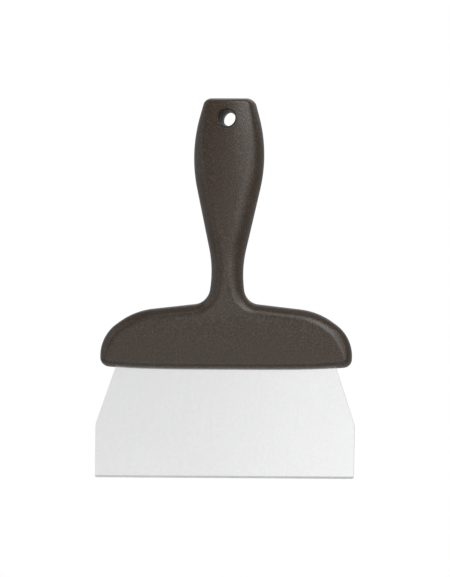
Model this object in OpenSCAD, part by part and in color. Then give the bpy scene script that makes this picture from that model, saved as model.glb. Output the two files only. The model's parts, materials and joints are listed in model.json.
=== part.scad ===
// Bench scraper: one stainless sheet blade with a plastic handle moulded over its hidden tang.
// +Z runs up the handle, X across the blade and Y through its thickness, with the front at -Y.
// The origin is at the middle of the working edge. All sizes are in millimetres.

/* [Blade] */
// Width of the working edge
edge_w = 150; // [147:0.2:153]
// Width where the sides turn in
kink_w = 150.4; // [147.4:0.2:153.4]
// Height at which the sides turn in
kink_z = 30.5; // [22:0.5:40]
// Radius of the turn in the sides
kink_r = 12; // [4:1:20]
// Radius of the two corners of the working edge
edge_corner_r = 1.2; // [0.6:0.2:3]
// Width of the blade where it enters the handle
entry_w = 128.2; // [118:0.2:132]
// Thickness of the sheet
sheet_t = 1.0; // [0.8:0.1:1.6]
// Height of the ground bevel along the working edge
bevel_h = 1.2; // [0.4:0.1:3]
// Thickness left at the working edge
edge_t = 0.5; // [0.3:0.1:0.7]

/* [Tang] */
// Height of the top of the strip that is hidden in the crossbar
strip_z = 78; // [75:1:82]
// Width of the tang in the neck
tang_w = 12; // [9:0.5:13]
// Height of the top of the tang
tang_z = 152; // [130:1:185]
// Radius where the tang meets the strip
tang_fillet_r = 4; // [2:0.5:6]
// Number of keying holes across the strip
strip_holes = 5; // [1:2:7]
// Spacing of the keying holes across the strip
strip_hole_pitch = 17; // [12:0.5:17]
// Diameter of the keying holes
key_hole_d = 6; // [3:0.5:7]

/* [Crossbar] */
// Height of the underside at its middle
bar_z = 62.2; // [60:0.1:62.5]
// Thickness at the underside
bar_t = 15.6; // [14:0.2:18]
// Half width of the outline at its lower corners
bar_x = 72.6; // [72.2:0.2:74]
// Radius of the lower corners
bar_corner_r = 5.2; // [4.8:0.1:5.4]
// Slope of the underside at its ends
bar_end_slope = 0.11; // [0.02:0.002:0.12]
// Half width of the outline at the outer corner of the shoulders
shoulder_x = 73.6; // [72.2:0.2:73.8]
// Height of the outer corner of the shoulders
shoulder_z = 81.3; // [80.9:0.2:83.5]
// Radius of the outer corner of the shoulders
shoulder_r = 22.4; // [20:0.2:22.6]
// Half width of the outline where the shoulders start to fall
crest_x = 53; // [52:0.5:55]
// Height of the outline where the shoulders start to fall
crest_z = 96; // [95.5:0.1:97.5]
// Radius of the outline where the shoulders start to fall
crest_r = 40; // [30:1:44]

/* [Grip] */
// Height of the top
top_z = 218.4; // [216:0.2:222]
// Thickness of the upper half
grip_t = 26; // [22:0.5:28]
// Half width of the outline at the top corners
top_corner_x = 14; // [13:0.1:15]
// Radius of the top corners
top_corner_r = 5.3; // [5:0.1:6.5]
// Half width of the outline's corner that rounds into the bulge
bulge_x = 22.9; // [22:0.1:23.8]
// Height of the outline's corner that rounds into the bulge
bulge_z = 187.5; // [185:0.5:191]
// Radius of the bulge
bulge_r = 85; // [80:1:95]

/* [Neck] */
// Thickness at the middle
neck_t = 23.6; // [20:0.2:25]
// Half width of the outline's corner that rounds into the neck
neck_x = 8.1; // [8:0.1:9]
// Height of the outline's corner that rounds into the neck
neck_z = 120.5; // [120:0.5:123]
// Radius of the neck
neck_r = 66; // [60:1:67]
// Half width of the outline's corner between the neck and the crossbar
fillet_x = 10.85; // [10:0.05:11.35]
// Height of the outline's corner between the neck and the crossbar
fillet_z = 100.8; // [99.4:0.1:101.3]
// Radius between the neck and the crossbar
fillet_r = 9.6; // [8:0.1:9.9]

/* [Hanging hole] */
// Diameter of the straight land in the middle
throat_d = 7.8; // [6:0.2:9]
// Length of the straight land
throat_l = 4; // [2:0.5:8]
// Diameter of the drafted wall at its mouths
mouth_d = 10; // [9.2:0.2:11]
// Height of the centre
hole_z = 206.4; // [204:0.2:207]
// Width of the chamfer round each mouth
mouth_chamfer = 0.5; // [0.2:0.1:0.8]

/* [Hidden] */

plastic = [0.25, 0.22, 0.19];
steel = [0.80, 0.80, 0.79];

// Control corners of the right half of the handle's outline, from the grip's top corner down to
// the crossbar's lower corner: [x, z, radius, segments in the arc].
CORNERS = [
    [top_corner_x, top_z, top_corner_r, 4],
    [bulge_x, bulge_z, bulge_r, 9],
    [neck_x, neck_z, neck_r, 7],
    [fillet_x, fillet_z, fillet_r, 7],
    [crest_x, crest_z, crest_r, 4],
    [shoulder_x, shoulder_z, shoulder_r, 7],
    [bar_x, bar_z + bar_end_slope * bar_x / 4, bar_corner_r, 4],
];

// Sections up the handle as [height, value], smoothed by section(): the half thickness, the width
// of the rounded edge, and how far the crowned face falls CROWN_X from the middle.
THICKNESS = [
    [bar_z, bar_t / 2], [95, bar_t / 2 + 0.4], [106, neck_t / 2 - 1.4], [118, neck_t / 2],
    [140, grip_t / 2 - 0.4], [160, grip_t / 2], [200, grip_t / 2], [top_z, grip_t / 2 - 0.9],
];
ROUNDING = [
    [68, 3], [76, 7.2], [96, 7], [106, 8.6], [118, 8.8], [127, 9.2],
    [136, 8.6], [148, 9], [166, 9.6], [184, 7.8], [198, 5.2], [207, 4.2], [216, 2.6],
];
CROWN = [[103, 0], [110, 5], [118, 6], [126, 5], [138, 2.5], [165, 2.2], [190, 3.2], [top_z, 4]];
CROWN_X = 20;
SMOOTHING = [-6, -4, -2, 0, 2, 4, 6]; // heights above and below that a smoothed section averages

ROUND_STEPS = 5; // rings of facets from the parting line to the face
COLUMNS = 4; // columns of facets from the middle of the face to its rounded edge
HOLE_FN = 64;

// Where the sheet's hidden corners and keying holes lie.
HIDDEN_CORNER_R = 3;
ENTRY_OVERLAP = 1; // the sheet's width is entry_w this far above the underside
TANG_HOLE_DROP = 12; // from the tang's top to the centre of its hole

function sum(list, i = 0) = i == len(list) ? 0 : list[i] + sum(list, i + 1);
function section(table, z) = sum([for (d = SMOOTHING) lookup(z + d, table)]) / len(SMOOTHING);
function unit(v) = v / norm(v);
function falling(list) = [for (i = [len(list) - 1:-1:0]) list[i]];

// Points of the arc that rounds corner b of the path a-b-c, each as [point, unit normal]. The
// normal points to the right of the path, which is the inside of a clockwise outline.
function arc(a, b, c, r, segments) =
    let (
        u = unit(a - b),
        v = unit(c - b),
        half = acos(u * v) / 2,
        turn = sign(u.x * v.y - u.y * v.x),
        centre = b + unit(u + v) * r / sin(half),
        start = b + u * r / tan(half) - centre,
        sweep = turn * (180 - 2 * half)
    )
    [for (k = [0:segments])
        let (
            angle = atan2(start.y, start.x) - sweep * k / segments,
            out = [cos(angle), sin(angle)]
        )
        [centre + r * out, -turn * out]];

// Right half of the handle's outline from the top centre to the bottom centre, as [point, inward
// normal]: the flat top, the seven rounded corners, and the underside, which rises towards its ends.
corner_path = concat(
    [[0, top_z]],
    [for (c = CORNERS) [c[0], c[1]]],
    [[0, bar_z - 0.75 * bar_end_slope * (bar_x - bar_corner_r)]]
);
corner_arcs = [for (i = [0:len(CORNERS) - 1])
    for (p = arc(corner_path[i], corner_path[i + 1], corner_path[i + 2], CORNERS[i][2], CORNERS[i][3])) p];
top_x = corner_arcs[0][0].x;
under_x = corner_arcs[len(corner_arcs) - 1][0].x;
under_rise = corner_arcs[len(corner_arcs) - 1][0].y - bar_z;
OUTLINE = concat(
    [for (j = [0:COLUMNS - 1]) [[top_x * j / COLUMNS, top_z], [0, -1]]],
    corner_arcs,
    [for (j = [COLUMNS - 1:-1:0])
        let (t = j / COLUMNS, slope = 4 * under_rise * pow(t, 3) / under_x)
        [[under_x * t, bar_z + under_rise * pow(t, 4)], unit([-slope, 1])]]
);
HALF = len(OUTLINE);
LOOP = 2 * (HALF - 1);

// Half thickness of the handle's face at (x, z).
function face_y(x, z) = section(THICKNESS, z) - section(CROWN, z) * pow(x / CROWN_X, 2);

// Point i of the right half of ring k, where ring 0 is the parting line and the last is the face.
function ring_point(i, k) =
    let (
        angle = 90 * k / ROUND_STEPS,
        p = OUTLINE[i][0] + OUTLINE[i][1] * section(ROUNDING, OUTLINE[i][0].y) * (1 - cos(angle))
    )
    [p.x, face_y(p.x, p.y) * sin(angle), p.y];

// Point m round the whole of ring k, on the front (side -1) or the back (side 1).
function loop_point(m, k, side) =
    m < HALF
        ? [ring_point(m, k).x, side * ring_point(m, k).y, ring_point(m, k).z]
        : let (p = ring_point(LOOP - m, k)) [-p.x, side * p.y, p.z];

FIRST_ROW = COLUMNS;
LAST_ROW = HALF - 1 - COLUMNS;
ROWS = LAST_ROW - FIRST_ROW - 1;
ROW_POINTS = 2 * COLUMNS - 1;
SIDE_POINTS = LOOP * ROUND_STEPS + ROWS * ROW_POINTS;

// Points of one side: rings 1 to ROUND_STEPS, then the rows across the face inside the last ring.
function side_points(side) = concat(
    [for (k = [1:ROUND_STEPS]) for (m = [0:LOOP - 1]) loop_point(m, k, side)],
    [for (row = [FIRST_ROW + 1:LAST_ROW - 1])
        let (end = ring_point(row, ROUND_STEPS))
        for (j = [1 - COLUMNS:COLUMNS - 1])
            let (x = end.x * j / COLUMNS)
            [x, side * face_y(x, end.z), end.z]]
);

// Index of a ring's point, and of the face's grid point in a row and a column, on a side whose
// first point has index base.
function ring_index(m, k, base) = k == 0 ? (m + LOOP) % LOOP : base + (k - 1) * LOOP + (m + LOOP) % LOOP;
function face_index(row, j, base) =
    row == FIRST_ROW ? ring_index(j, ROUND_STEPS, base)
    : row == LAST_ROW ? ring_index(HALF - 1 - j, ROUND_STEPS, base)
    : abs(j) == COLUMNS ? ring_index(j > 0 ? row : LOOP - row, ROUND_STEPS, base)
    : base + LOOP * ROUND_STEPS + (row - FIRST_ROW - 1) * ROW_POINTS + j + COLUMNS - 1;

function side_faces(base) = concat(
    [for (k = [0:ROUND_STEPS - 1]) for (m = [0:LOOP - 1])
        [ring_index(m, k, base), ring_index(m + 1, k, base),
         ring_index(m + 1, k + 1, base), ring_index(m, k + 1, base)]],
    [for (row = [FIRST_ROW:LAST_ROW - 1]) for (j = [-COLUMNS:COLUMNS - 1])
        [face_index(row, j, base), face_index(row, j + 1, base),
         face_index(row + 1, j + 1, base), face_index(row + 1, j, base)]]
);
function triangles(quads) = [for (q = quads) each [[q[0], q[1], q[2]], [q[0], q[2], q[3]]]];

// The handle's outer form: rings from the parting line to each face, closed by a crowned face.
module handle_form() {
    front = side_faces(LOOP);
    back = [for (q = side_faces(LOOP + SIDE_POINTS)) falling(q)];
    polyhedron(
        points = concat(
            [for (m = [0:LOOP - 1]) loop_point(m, 0, 0)],
            side_points(-1),
            side_points(1)
        ),
        faces = triangles(concat(front, back))
    );
}

// The blade's outline: the trapezoid below the crossbar, the strip inside it and the tang.
function blade_half() =
    let (
        entry_z = bar_z + ENTRY_OVERLAP,
        lean = (kink_w - entry_w) / 2 / (entry_z - kink_z),
        path = [
            [0, 0, 0, 0],
            [edge_w / 2, 0, edge_corner_r, 6],
            [kink_w / 2, kink_z, kink_r, 4],
            [kink_w / 2 - lean * (strip_z - kink_z), strip_z, HIDDEN_CORNER_R, 5],
            [tang_w / 2, strip_z, tang_fillet_r, 6],
            [tang_w / 2, tang_z, HIDDEN_CORNER_R, 6],
            [0, tang_z, 0, 0],
        ],
        at = [for (p = path) [p[0], p[1]]]
    )
    [for (i = [1:len(path) - 2]) for (p = arc(at[i - 1], at[i], at[i + 1], path[i][2], path[i][3])) p[0]];

module upright(depth) {
    rotate([90, 0, 0]) linear_extrude(depth, center = true) children();
}

// The sheet with its ground edge and its keying holes.
module sheet() {
    half = blade_half();
    profile = [
        [-edge_t / 2, 0], [-sheet_t / 2, bevel_h], [-sheet_t / 2, tang_z],
        [sheet_t / 2, tang_z], [sheet_t / 2, bevel_h], [edge_t / 2, 0],
    ];
    strip_hole_z = (bar_z + strip_z) / 2 + 1;
    difference() {
        intersection() {
            upright(2 * sheet_t)
                polygon(concat(half, [for (p = falling(half)) [-p.x, p.y]]));
            rotate([90, 0, 90]) linear_extrude(2 * kink_w, center = true) polygon(profile);
        }
        for (i = [0:strip_holes - 1])
            translate([(i - (strip_holes - 1) / 2) * strip_hole_pitch, 0, strip_hole_z])
                rotate([90, 0, 0]) cylinder(d = key_hole_d, h = 2 * sheet_t, center = true, $fn = HOLE_FN);
        translate([0, 0, tang_z - TANG_HOLE_DROP])
            rotate([90, 0, 0]) cylinder(d = key_hole_d - 1, h = 2 * sheet_t, center = true, $fn = HOLE_FN);
    }
}

// The hanging hole: a straight land in the middle, a wall drafted out from it to each face, and a
// chamfer at each mouth.
module hanging_hole() {
    wall_end = face_y(mouth_d / 2, hole_z) - mouth_chamfer;
    flare = 2 * mouth_chamfer;
    translate([0, 0, hole_z]) rotate([90, 0, 0]) {
        cylinder(d = throat_d, h = throat_l, center = true, $fn = HOLE_FN);
        for (side = [0, 1]) mirror([0, 0, side]) {
            translate([0, 0, throat_l / 2])
                cylinder(d1 = throat_d, d2 = mouth_d, h = wall_end - throat_l / 2, $fn = HOLE_FN);
            translate([0, 0, wall_end])
                cylinder(d1 = mouth_d, d2 = mouth_d + 2 * flare, h = flare, $fn = HOLE_FN);
        }
    }
}

module handle() {
    color(plastic) difference() {
        handle_form();
        hanging_hole();
        sheet();
    }
}

module blade() {
    color(steel) sheet();
}

handle();
blade();
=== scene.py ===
"""Bench scraper: the looks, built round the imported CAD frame.

The handle is a fine mesh of the same moulding that the CAD draws in facets: a rounded outline lifted
to a crowned face on each side, with the hanging hole and the parting line. It needs no pocket, since
the blade that fills it can't be seen there. The blade is the CAD node itself with softened edges and
a satin steel finish.
"""

import json
import math

import bpy
import numpy as np
from mathutils import Matrix, Vector
from mathutils.geometry import delaunay_2d_cdt


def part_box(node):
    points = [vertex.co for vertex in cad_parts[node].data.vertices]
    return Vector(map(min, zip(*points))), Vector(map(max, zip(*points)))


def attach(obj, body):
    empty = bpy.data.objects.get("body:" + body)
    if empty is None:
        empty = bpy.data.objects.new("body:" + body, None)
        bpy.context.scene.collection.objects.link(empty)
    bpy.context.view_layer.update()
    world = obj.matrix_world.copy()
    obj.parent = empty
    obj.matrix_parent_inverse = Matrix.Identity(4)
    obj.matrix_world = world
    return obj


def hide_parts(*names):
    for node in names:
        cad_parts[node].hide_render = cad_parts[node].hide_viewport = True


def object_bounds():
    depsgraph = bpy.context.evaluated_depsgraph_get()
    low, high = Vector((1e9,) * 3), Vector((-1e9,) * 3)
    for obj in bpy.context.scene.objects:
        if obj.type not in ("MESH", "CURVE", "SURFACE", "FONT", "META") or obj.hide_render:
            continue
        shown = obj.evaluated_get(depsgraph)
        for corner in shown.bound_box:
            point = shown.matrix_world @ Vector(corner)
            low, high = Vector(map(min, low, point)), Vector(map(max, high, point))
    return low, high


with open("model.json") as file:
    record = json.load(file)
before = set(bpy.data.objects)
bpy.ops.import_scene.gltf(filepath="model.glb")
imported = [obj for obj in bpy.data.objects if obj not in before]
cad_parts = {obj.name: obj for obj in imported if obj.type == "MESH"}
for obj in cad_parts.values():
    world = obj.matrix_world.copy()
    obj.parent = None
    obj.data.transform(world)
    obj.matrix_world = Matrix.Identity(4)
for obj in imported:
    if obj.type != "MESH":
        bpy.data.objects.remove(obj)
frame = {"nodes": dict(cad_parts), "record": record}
cad_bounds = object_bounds()

MM = 0.001
handle_lo, handle_hi = (np.array(corner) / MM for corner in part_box("handle"))
mounts = {m["name"]: m for m in frame["record"]["mounts"]}
hole_mount = mounts["hanging_hole"]

# The handle's outline, in millimetres: the control corners of its right half as x, z and radius,
# from the grip's top corner down to the crossbar's lower corner.
TOP_Z = handle_hi[2]
BAR_Z = handle_lo[2]
BAR_X = 72.6
END_SLOPE = 0.11
BAR_CORNER_R = 5.2
CORNERS = [
    (14.0, TOP_Z, 5.3),
    (22.9, 187.5, 85.0),
    (8.1, 120.5, 66.0),
    (10.85, 100.8, 9.6),
    (53.0, 96.0, 40.0),
    (73.6, 81.3, 22.4),
    (BAR_X, BAR_Z + END_SLOPE * BAR_X / 4, BAR_CORNER_R),
]

# Sections up the handle as height and value: half thickness, width of the rounded edge, and how far
# the crowned face falls CROWN_X from the middle.
BAR_Y = 7.8
NECK_Y = 11.8
GRIP_Y = handle_hi[1]
THICKNESS = [(BAR_Z, BAR_Y), (95, BAR_Y + 0.4), (106, NECK_Y - 1.4), (118, NECK_Y),
             (140, GRIP_Y - 0.4), (160, GRIP_Y), (200, GRIP_Y), (TOP_Z, GRIP_Y - 0.9)]
ROUNDING = [(68, 3.0), (76, 7.2), (96, 7.0), (106, 8.6), (118, 8.8), (127, 9.2), (136, 8.6), (148, 9.0),
            (166, 9.6), (184, 7.8), (198, 5.2), (207, 4.2), (216, 2.6)]
CROWN = [(103, 0), (110, 5), (118, 6), (126, 5), (138, 2.5), (165, 2.2), (190, 3.2), (TOP_Z, 4.0)]
CROWN_X = 20
SMOOTHING = np.arange(-6, 6.1, 1.0)

# The hanging hole: its height, and the straight land in its middle, are the mount's. From the land,
# whose edge is eased over LAND_EASE, a drafted wall opens to MOUTH_R inside each rounded rim.
HOLE_Z = hole_mount["pos_m"][2] / MM
LAND_R = hole_mount["dims"]["r_mm"]
LAND_Y = hole_mount["dims"]["length_mm"] / 2
LAND_EASE = 0.5
MOUTH_R = 5.0
RIM_R = 0.5

# How fine the mesh is. Lengths are in millimetres. The face's grid has its rows ROW_RATIO of its
# columns' spacing apart, which makes even triangles.
EDGE_SPACING = 0.8
ARC_STEP = math.radians(4)
RING_ANGLES = np.radians(np.linspace(6, 90, 15))
RING_SLACK = 0.02
CLOSEST = 0.3
FACE_SPACING = 1.1
ROW_RATIO = 0.866
HOLE_SEGMENTS = 96
RIM_ANGLES = np.radians((22.5, 45, 67.5, 90))
WALL_STEPS = (0.33, 0.66, 0.9)
HOLE_RINGS = (5.9, 6.5, 7.4)
GRID_FROM_HOLE = 8.2
MERGE_DISTANCE = 1e-7
BLOCK = 2000

# The parting line is a fine groove, this deep and this far to each side of the middle.
PARTING_DEPTH = 0.07
PARTING_Y = 0.12

# Edges sharper than the crease stay crisp on the handle, and on the blade they are broken by
# EDGE_BREAK, in millimetres.
CREASE = math.radians(35)
EDGE_BREAK = 0.12

# The plastic: pits, body and flecks of its grain, from dark to light. The cloud evens the grain out
# in places. Noise scales are per metre and heights in millimetres, and a pair of values goes with
# the noise from low to high.
PLASTIC_PIT = (0.0095, 0.005, 0.002)
PLASTIC_BODY = (0.0275, 0.0148, 0.0058)
PLASTIC_FLECK = (0.079, 0.054, 0.038)
PLASTIC_STOPS = [(0.32, PLASTIC_PIT), (0.5, PLASTIC_BODY), (0.7, PLASTIC_FLECK)]
PLASTIC_GRAIN = 1400
PLASTIC_GRAIN_HEIGHT = 0.1
PLASTIC_CLOUD = 35
PLASTIC_EVENED = (0, 0.25)
PLASTIC_ROUGHNESS = (0.32, 0.15)
PLASTIC_IOR = 1.55
PLASTIC_SPECULAR = 0.5
# Painted shade: the hanging hole's wall gets a near-black colour and little specular, standing in for
# the shade inside the hole.
HOLE_PAINTED_SHADE = (0.012, 0.008, 0.005)
HOLE_SPECULAR = 0.04

# The steel: its grain and its streaks are stretched along the blade's height.
STEEL_DARK = (0.817, 0.82, 0.82)
STEEL_LIGHT = (0.867, 0.87, 0.87)
STEEL_STOPS = [(0.3, STEEL_DARK), (0.7, STEEL_LIGHT)]
STEEL_GRAIN = 1500
STEEL_GRAIN_STRETCH = (1, 1, 0.5)
STEEL_STREAK = 700
STEEL_STREAK_STRETCH = (1, 1, 0.06)
STEEL_STREAK_HEIGHT = 0.002
STEEL_STREAK_SHARE = (0, 0.3)
STEEL_CLOUD = 60
STEEL_ROUGHNESS = (0.185, 0.215)

# The camera stands to the object's right and a little below it, and looks past its middle by
# CAMERA_SHIFT. Angles are in degrees, the lens and the sensor in millimetres, the rest in metres.
CAMERA_YAW = 8.53
CAMERA_PITCH = -4.2
CAMERA_ROLL = 0.907
CAMERA_DISTANCE = 10.0
CAMERA_SHIFT = (-0.00123, 0, -0.0002)
CAMERA_CLIP = (0.1, 30)
CAMERA_LENS = 1086.9
CAMERA_SENSOR = 36

# The softboxes stand on a sphere of LIGHT_DISTANCE round the object. The key is a wide bank of tiles
# to the right, brightest low beside the camera. A smaller bank in front is what the blade mirrors.
# Each bank gives its tiles' radiances from the lowest row up, by azimuth. Lengths are in metres.
LIGHT_DISTANCE = 1.0
KEY_TILE = (0.34, 0.34)
KEY_ELEVATIONS = (5, 25, 45)
KEY = {15: (0.8, 3.1, 1.5), 35: (1.6, 1.6, 1.9), 55: (1.4, 0.9, 1.3), 75: (0.8, 0.8, 0.8)}
FRONT_TILE = (0.26, 0.26)
FRONT_ELEVATIONS = (-15, 0, 15)
FRONT = {-30: (0.4, 0.4, 0.05), -15: (1.2, 0.5, 0.15), 0: (0.95, 0.75, 0.1)}

# Single softboxes: azimuth, elevation, size and radiance.
FILLS = [
    (0, 40, (0.45, 0.45), 1.1),
    (-60, 0, (0.55, 0.55), 0.4),
    (-60, 30, (0.55, 0.55), 0.5),
    (-95, 20, (0.7, 0.9), 0.25),
    (45, -25, (0.6, 0.5), 0.45),
    (15, -20, (0.34, 0.34), 0.4),
    (0, 89.9, (0.6, 0.6), 0.2),
    (180, 40, (0.8, 0.6), 0.3),
]
AMBIENT = 0.35
WHITE = (1, 1, 1, 1)
FLOOR_SIZE = 4
FLOOR_Z = -0.5
FLOOR_COLOUR = (0.90, 0.90, 0.89, 1)
FLOOR_ROUGHNESS = 0.7


def section(table, z):
    """The value of a table at height z, averaged over a few millimetres above and below."""
    heights, values = np.array(table, float).T
    z = np.asarray(z, float)
    return np.mean([np.interp(z + dz, heights, values) for dz in SMOOTHING], axis=0)


def face_depth(x, z):
    """Half thickness of the handle's face at (x, z)."""
    return section(THICKNESS, z) - section(CROWN, z) * (np.asarray(x, float) / CROWN_X) ** 2


def unit(v):
    """The vector v at length 1."""
    return v / np.linalg.norm(v)


def arc(a, b, c, radius):
    """Points and inward normals of the arc that rounds corner b of the clockwise path a-b-c."""
    u, v = unit(a - b), unit(c - b)
    half = math.acos(float(u @ v)) / 2
    turn = math.copysign(1, u[0] * v[1] - u[1] * v[0])
    centre = b + unit(u + v) * radius / math.sin(half)
    start = b + u * radius / math.tan(half) - centre
    sweep = turn * (math.pi - 2 * half)
    steps = math.ceil(abs(sweep) * max(radius / EDGE_SPACING, 1 / ARC_STEP))
    angles = math.atan2(start[1], start[0]) - sweep * np.linspace(0, 1, steps + 1)
    out = np.c_[np.cos(angles), np.sin(angles)]
    return centre + radius * out, -turn * out


def straight(a, b):
    """Points strictly between a and b, and the normal to their right."""
    steps = max(1, math.ceil(np.linalg.norm(b - a) / EDGE_SPACING))
    t = np.arange(1, steps)[:, None] / steps
    along = unit(b - a)
    return a + (b - a) * t, np.tile([along[1], -along[0]], (steps - 1, 1))


def handle_outline():
    """The whole outline, clockwise from the top centre, as points and inward normals."""
    # The last corner's arc leads towards this point, at about the slope with which the underside ends.
    base = np.array([0, BAR_Z - 0.75 * END_SLOPE * (BAR_X - BAR_CORNER_R)])
    path = [np.array([0, TOP_Z])] + [np.array(c[:2]) for c in CORNERS] + [base]
    points, normals = [path[0][None]], [np.array([[0, -1.0]])]
    for i, corner in enumerate(CORNERS):
        bend, bend_normals = arc(*path[i:i + 3], corner[2])
        line, line_normals = straight(points[-1][-1], bend[0])
        points += [line, bend]
        normals += [line_normals, bend_normals]
    # The underside rises towards its ends as the fourth power of x.
    end_x, end_z = points[-1][-1]
    t = np.linspace(1, 0, math.ceil(end_x / EDGE_SPACING) + 1)[1:]
    slope = 4 * (end_z - BAR_Z) * t ** 3 / end_x
    points.append(np.c_[end_x * t, BAR_Z + (end_z - BAR_Z) * t ** 4])
    normals.append(np.c_[-slope, np.ones_like(t)] / np.hypot(slope, 1)[:, None])
    points, normals = np.concatenate(points), np.concatenate(normals)
    mirror = np.array([-1.0, 1.0])
    points = np.concatenate([points, points[-2:0:-1] * mirror])
    normals = np.concatenate([normals, normals[-2:0:-1] * mirror])
    return points, normals


def nearest(points, outline):
    """Index of, and distance to, the outline point nearest to each point."""
    index, distance = [], []
    for block in np.array_split(points, max(1, len(points) // BLOCK)):
        gaps = np.linalg.norm(block[:, None] - outline[None], axis=2)
        index.append(gaps.argmin(1))
        distance.append(gaps.min(1))
    return np.concatenate(index), np.concatenate(distance)


def spaced(points, closest):
    """Indices of the points along a ring that are at least closest away from the last one kept."""
    kept = [0]
    for i in range(1, len(points)):
        if np.linalg.norm(points[i] - points[kept[-1]]) >= closest:
            kept.append(i)
    return kept


def circle(radius, count, phase=0.0):
    """Points (x, z) round the hanging hole's axis, turned on by phase of a step."""
    angles = 2 * math.pi * (np.arange(count) + phase) / count
    return np.c_[radius * np.cos(angles), HOLE_Z + radius * np.sin(angles)]


def inside(points, outline):
    """Whether each point lies inside the closed outline, by counting crossings."""
    result = np.zeros(len(points), bool)
    after = np.roll(outline, -1, axis=0)
    for (ax, az), (bx, bz) in zip(outline, after):
        if az == bz:
            continue
        crosses = (points[:, 1] < az) != (points[:, 1] < bz)
        result ^= crosses & (points[:, 0] < ax + (points[:, 1] - az) * (bx - ax) / (bz - az))
    return result


def face_points(outline, normals):
    """Points of one side of the handle as (x, z, depth): the outline, the hole's rim, then the rest."""
    width = section(ROUNDING, outline[:, 1])
    rim = circle(MOUTH_R + RIM_R, HOLE_SEGMENTS)
    parts = [
        np.c_[outline, np.zeros(len(outline))],
        np.c_[rim, face_depth(*rim.T)],
    ]
    # Rings that follow the outline, at even angles round the rounded edge. Where a ring would cross
    # itself, its points are nearer to the outline than its inset, and are left out.
    for angle in RING_ANGLES:
        inset = width * (1 - math.cos(angle))
        ring = outline + normals * inset[:, None]
        real = np.abs(nearest(ring, outline)[1] - inset) < RING_SLACK * (1 + inset)
        ring = ring[real]
        ring = ring[spaced(ring, CLOSEST)]
        parts.append(np.c_[ring, face_depth(*ring.T) * math.sin(angle)])
    # Rings round the hole, then an even grid over the rest of the face.
    for k, radius in enumerate(HOLE_RINGS):
        ring = circle(radius, HOLE_SEGMENTS // 2, 0.5 * k)
        parts.append(np.c_[ring, face_depth(*ring.T)])
    rows = np.arange(BAR_Z, TOP_Z, FACE_SPACING * ROW_RATIO)
    columns = np.arange(-BAR_X, BAR_X, FACE_SPACING)
    grid = np.array([(x + FACE_SPACING / 2 * (k % 2), z) for k, z in enumerate(rows) for x in columns])
    index, distance = nearest(grid, outline)
    clear = distance > width[index] + 0.5 * FACE_SPACING
    clear &= inside(grid, outline)
    clear &= np.hypot(grid[:, 0], grid[:, 1] - HOLE_Z) > GRID_FROM_HOLE
    grid = grid[clear]
    parts.append(np.c_[grid, face_depth(*grid.T)])
    return np.concatenate(parts)


def triangulate(points, loops):
    """Triangles, clockwise from the front, over 2D points bounded by the given index loops."""
    edges = [(loop[i], loop[(i + 1) % len(loop)]) for loop in loops for i in range(len(loop))]
    made = delaunay_2d_cdt([Vector(p) for p in points], edges, [], 1, MERGE_DISTANCE)
    vertices, faces, sources = made[0], made[2], made[3]
    if len(vertices) != len(points):
        raise ValueError("the triangulation added or merged points")
    order = [source[0] for source in sources]
    triangles = np.array([[order[i] for i in face] for face in faces])
    # The triangles that close the hanging hole are left out, but for slivers along its rim.
    centres = points[triangles].mean(1)
    open_r = MOUTH_R + 0.8 * RIM_R
    triangles = triangles[np.hypot(centres[:, 0], centres[:, 1] - HOLE_Z) > open_r]
    a, b, c = (points[triangles[:, i]] for i in range(3))
    area = np.cross(b - a, c - a)
    triangles[area > 0] = triangles[area > 0][:, ::-1]
    return triangles


def half_wall(mouth):
    """The hole's wall from its front rim to the middle, as rings of a radius and depths.

    It is a rounded rim that starts at the depths of the mouth, the drafted wall and the eased edge of
    the land.
    """
    rings = []
    for angle in RIM_ANGLES:
        rings.append((MOUTH_R + RIM_R * (1 - math.sin(angle)), mouth - RIM_R * (1 - math.cos(angle))))
    wall_y = rings[-1][1]
    for t in WALL_STEPS:
        rings.append((MOUTH_R + (LAND_R - MOUTH_R) * t, wall_y + (LAND_Y - wall_y) * t))
    rings.append((LAND_R, np.full(len(mouth), LAND_Y - LAND_EASE)))
    return rings


def build_handle():
    """The handle's fine mesh, in metres, with its faces wound clockwise as seen from outside."""
    outline, normals = handle_outline()
    side = face_points(outline, normals)
    count, edge, rim = len(side), len(outline), HOLE_SEGMENTS
    triangles = triangulate(side[:, :2], [range(edge), range(edge, edge + rim)])

    # Both sides, lifted off the parting line by PARTING_Y, and the fine groove between them.
    depth = np.maximum(side[:, 2], PARTING_Y)
    front = np.c_[side[:, 0], -depth, side[:, 1]]
    back = np.c_[side[:, 0], depth, side[:, 1]]
    groove_xz = outline + normals * PARTING_DEPTH
    groove = np.c_[groove_xz[:, 0], np.zeros(edge), groove_xz[:, 1]]
    vertices = [front, back, groove]
    faces = [triangles, triangles[:, ::-1] + count]
    quads = []

    def band(first, second, length):
        """Quads between two loops of the same length, given by the index of their first point."""
        i = np.arange(length)
        j = (i + 1) % length
        quads.append(np.c_[first + i, second + i, second + j, first + j])

    band(0, 2 * count, edge)
    band(2 * count, count, edge)

    # The hole's wall, from the front to the middle and mirrored to the back.
    half = half_wall(depth[edge:edge + rim])
    turn = 2 * math.pi * np.arange(rim) / rim
    rings = []
    for sign, side_rings in ((-1, half), (1, half[::-1])):
        for radius, y in side_rings:
            rings.append(np.c_[radius * np.cos(turn), sign * y, HOLE_Z + radius * np.sin(turn)])
    base = 2 * count + edge
    starts = [edge] + [base + i * rim for i in range(len(rings))] + [count + edge]
    vertices += rings
    for first, second in zip(starts, starts[1:]):
        band(second, first, rim)

    vertices = np.concatenate(vertices) * MM
    polygons = np.concatenate(faces).tolist() + np.concatenate(quads).tolist()
    mesh = bpy.data.meshes.new("handle_moulding")
    mesh.from_pydata(vertices.tolist(), [], polygons)
    mesh.validate()
    obj = bpy.data.objects.new("handle_moulding", mesh)
    bpy.context.scene.collection.objects.link(obj)
    return obj


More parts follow.
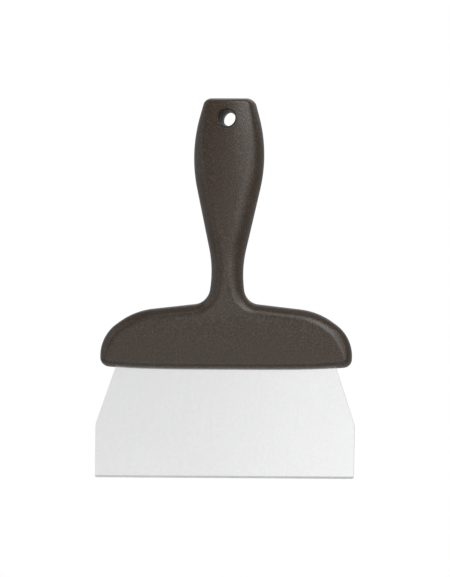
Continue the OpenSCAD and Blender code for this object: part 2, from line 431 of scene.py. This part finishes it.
def smooth_shading(mesh, crease):
    """Smooth shading, with edges sharper than the crease angle kept crisp."""
    mesh.polygons.foreach_set("use_smooth", [True] * len(mesh.polygons))
    mesh.set_sharp_from_angle(angle=crease)


def break_edges(obj, width, crease):
    """A narrow bevel on the edges that are sharper than the crease angle."""
    bevel = obj.modifiers.new("broken_edges", "BEVEL")
    bevel.width = width
    bevel.segments = 2
    bevel.limit_method = "ANGLE"
    bevel.angle_limit = crease


def nodes_of(material):
    """The material's node tree, cleared but for its output and its Principled shader."""
    material.use_nodes = True
    tree = material.node_tree
    tree.nodes.clear()
    output = tree.nodes.new("ShaderNodeOutputMaterial")
    shader = tree.nodes.new("ShaderNodeBsdfPrincipled")
    tree.links.new(shader.outputs["BSDF"], output.inputs["Surface"])
    return tree, shader


def object_coordinates(tree, scale=(1, 1, 1), offset=(0, 0, 0)):
    """Object coordinates in metres, multiplied by scale and then moved by offset."""
    coordinates = tree.nodes.new("ShaderNodeTexCoord")
    mapping = tree.nodes.new("ShaderNodeMapping")
    mapping.inputs["Scale"].default_value = scale
    mapping.inputs["Location"].default_value = offset
    tree.links.new(coordinates.outputs["Object"], mapping.inputs["Vector"])
    return mapping.outputs["Vector"]


def noise(tree, vector, scale, detail=3, roughness=0.5):
    """Noise over the vector, most of it between 0.3 and 0.7."""
    node = tree.nodes.new("ShaderNodeTexNoise")
    node.inputs["Scale"].default_value = scale
    node.inputs["Detail"].default_value = detail
    node.inputs["Roughness"].default_value = roughness
    tree.links.new(vector, node.inputs["Vector"])
    return node.outputs["Fac"]


def ramp(tree, factor, stops):
    """A colour ramp with the given (position, colour) stops."""
    node = tree.nodes.new("ShaderNodeValToRGB")
    elements = node.color_ramp.elements
    while len(elements) < len(stops):
        elements.new(0.5)
    for element, (position, colour) in zip(elements, stops):
        element.position = position
        element.color = (*colour, 1)
    tree.links.new(factor, node.inputs["Fac"])
    return node.outputs["Color"]


def to_range(tree, value, low, high, start=0.3, end=0.7):
    """The value's span from start to end mapped to low..high. The default span suits a noise."""
    node = tree.nodes.new("ShaderNodeMapRange")
    for name, number in zip(("From Min", "From Max", "To Min", "To Max"), (start, end, low, high)):
        node.inputs[name].default_value = number
    tree.links.new(value, node.inputs["Value"])
    return node.outputs["Result"]


def bump(tree, height, distance):
    """The normal of a surface that the height, from 0 to 1, raises by up to distance metres."""
    node = tree.nodes.new("ShaderNodeBump")
    node.inputs["Strength"].default_value = 1.0
    node.inputs["Distance"].default_value = distance
    tree.links.new(height, node.inputs["Height"])
    return node.outputs["Normal"]


def mix(tree, factor, first, second):
    """Colours first to second by factor; each is a socket or an (r, g, b)."""
    node = tree.nodes.new("ShaderNodeMix")
    node.data_type = "RGBA"
    sockets = [s for s in node.inputs if s.type == "RGBA"]
    for socket, colour in zip(sockets, (first, second)):
        if isinstance(colour, tuple):
            socket.default_value = (*colour, 1)
        else:
            tree.links.new(colour, socket)
    tree.links.new(factor, node.inputs[0])
    return next(s for s in node.outputs if s.type == "RGBA")


def hole_wall_shade_mask(tree):
    """Mask of the painted shade in the hanging hole: 1 on its wall and 0 outside its mouths, from the
    distance to its axis.
    """
    length = tree.nodes.new("ShaderNodeVectorMath")
    length.operation = "LENGTH"
    from_axis = object_coordinates(tree, scale=(1, 0, 1), offset=(0, 0, -HOLE_Z * MM))
    tree.links.new(from_axis, length.inputs[0])
    radius = MOUTH_R * MM
    return to_range(tree, length.outputs["Value"], 1, 0, radius, radius + 0.7 * RIM_R * MM)


def plastic_material():
    """Dark brown-grey moulded plastic with a spark-eroded texture whose grains catch the light.

    The hole's wall is painted in shade: a near-black base colour and little specular stand in for the
    shade inside the hole.
    """
    material = bpy.data.materials.new("handle_plastic")
    tree, shader = nodes_of(material)
    place = object_coordinates(tree)
    grain = noise(tree, place, PLASTIC_GRAIN, detail=2, roughness=0.6)
    cloud = noise(tree, place, PLASTIC_CLOUD)
    wall = hole_wall_shade_mask(tree)
    base = ramp(tree, grain, PLASTIC_STOPS)
    base = mix(tree, to_range(tree, cloud, *PLASTIC_EVENED), base, PLASTIC_BODY)
    specular = to_range(tree, wall, PLASTIC_SPECULAR, HOLE_SPECULAR, 0, 1)
    # Painted shade: the hole's wall is darkened to near black.
    tree.links.new(mix(tree, wall, base, HOLE_PAINTED_SHADE), shader.inputs["Base Color"])
    tree.links.new(specular, shader.inputs["Specular IOR Level"])
    tree.links.new(to_range(tree, grain, *PLASTIC_ROUGHNESS), shader.inputs["Roughness"])
    tree.links.new(bump(tree, grain, PLASTIC_GRAIN_HEIGHT * MM), shader.inputs["Normal"])
    shader.inputs["IOR"].default_value = PLASTIC_IOR
    return material


def steel_material():
    """Satin stainless sheet with a fine grain that runs up the blade."""
    material = bpy.data.materials.new("blade_steel")
    tree, shader = nodes_of(material)
    grain_place = object_coordinates(tree, STEEL_GRAIN_STRETCH)
    grain = noise(tree, grain_place, STEEL_GRAIN, detail=2, roughness=0.6)
    streak = noise(tree, object_coordinates(tree, STEEL_STREAK_STRETCH), STEEL_STREAK, detail=2)
    cloud = noise(tree, object_coordinates(tree), STEEL_CLOUD)
    base = ramp(tree, grain, STEEL_STOPS)
    base = mix(tree, to_range(tree, streak, *STEEL_STREAK_SHARE), base, STEEL_DARK)
    tree.links.new(base, shader.inputs["Base Color"])
    tree.links.new(to_range(tree, cloud, *STEEL_ROUGHNESS), shader.inputs["Roughness"])
    tree.links.new(bump(tree, streak, STEEL_STREAK_HEIGHT * MM), shader.inputs["Normal"])
    shader.inputs["Metallic"].default_value = 1.0
    return material


def aim(obj, target, azimuth, elevation, distance):
    """Stands an object at a distance from the target, facing it: azimuth 0 is at -Y and 90 at +X."""
    a, e = math.radians(azimuth), math.radians(elevation)
    back = Vector((math.sin(a) * math.cos(e), -math.cos(a) * math.cos(e), math.sin(e)))
    obj.location = target + back * distance
    obj.rotation_mode = "QUATERNION"
    obj.rotation_quaternion = (-back).to_track_quat("-Z", "Y")


def make_camera(middle):
    """The camera of the main view, with its long lens aimed near the object's middle."""
    data = bpy.data.cameras.new("camera")
    data.sensor_width = CAMERA_SENSOR
    data.lens = CAMERA_LENS
    data.clip_start, data.clip_end = CAMERA_CLIP
    camera = bpy.data.objects.new("camera", data)
    bpy.context.scene.collection.objects.link(camera)
    aim(camera, middle + Vector(CAMERA_SHIFT), CAMERA_YAW, CAMERA_PITCH, CAMERA_DISTANCE)
    roll = Matrix.Rotation(math.radians(CAMERA_ROLL), 3, "Z").to_quaternion()
    camera.rotation_quaternion = camera.rotation_quaternion @ roll
    bpy.context.scene.camera = camera


def make_light(middle, azimuth, elevation, size, radiance):
    """A softbox that faces the object's middle and that the camera doesn't see."""
    name = f"softbox_{azimuth}_{elevation}"
    data = bpy.data.lights.new(name, "AREA")
    data.shape = "RECTANGLE"
    data.size, data.size_y = size
    data.energy = radiance * size[0] * size[1] * math.pi
    light = bpy.data.objects.new(name, data)
    bpy.context.scene.collection.objects.link(light)
    aim(light, middle, azimuth, elevation, LIGHT_DISTANCE)
    light.visible_camera = False


def make_bank(middle, tile, elevations, bank):
    """One softbox at each azimuth and elevation of a bank."""
    for azimuth, radiances in bank.items():
        for elevation, radiance in zip(elevations, radiances):
            make_light(middle, azimuth, elevation, tile, radiance)


def make_world():
    """White where the camera looks past the object, and a dimmer even light on the object."""
    world = bpy.data.worlds.new("studio")
    world.use_nodes = True
    tree = world.node_tree
    background = tree.nodes["Background"]
    background.inputs["Color"].default_value = WHITE
    ray = tree.nodes.new("ShaderNodeLightPath")
    strength = to_range(tree, ray.outputs["Is Camera Ray"], AMBIENT, 1, 0, 1)
    tree.links.new(strength, background.inputs["Strength"])
    bpy.context.scene.world = world


def make_floor():
    """A plain pale floor below the object, low enough to stay out of the main view."""
    bpy.ops.mesh.primitive_plane_add(size=FLOOR_SIZE, location=(0, 0, FLOOR_Z))
    floor = bpy.context.object
    floor.name = "floor"
    material = bpy.data.materials.new("floor_paint")
    shader = nodes_of(material)[1]
    shader.inputs["Base Color"].default_value = FLOOR_COLOUR
    shader.inputs["Roughness"].default_value = FLOOR_ROUGHNESS
    floor.data.materials.append(material)


# The handle's own mesh takes the place of the CAD's handle.
handle = build_handle()
smooth_shading(handle.data, CREASE)
handle.data.materials.append(plastic_material())
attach(handle, "root")
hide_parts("handle")

# The blade keeps its CAD node, with its edges just broken.
blade = frame["nodes"]["blade"]
blade.data.materials.clear()
blade.data.materials.append(steel_material())
break_edges(blade, EDGE_BREAK * MM, CREASE)

# The studio round the object.
middle_of_object = (Vector(cad_bounds[0]) + Vector(cad_bounds[1])) / 2
make_camera(middle_of_object)
make_bank(middle_of_object, KEY_TILE, KEY_ELEVATIONS, KEY)
make_bank(middle_of_object, FRONT_TILE, FRONT_ELEVATIONS, FRONT)
for azimuth, elevation, size, radiance in FILLS:
    make_light(middle_of_object, azimuth, elevation, size, radiance)
make_world()
make_floor()
bpy.context.scene.view_settings.view_transform = "Standard"
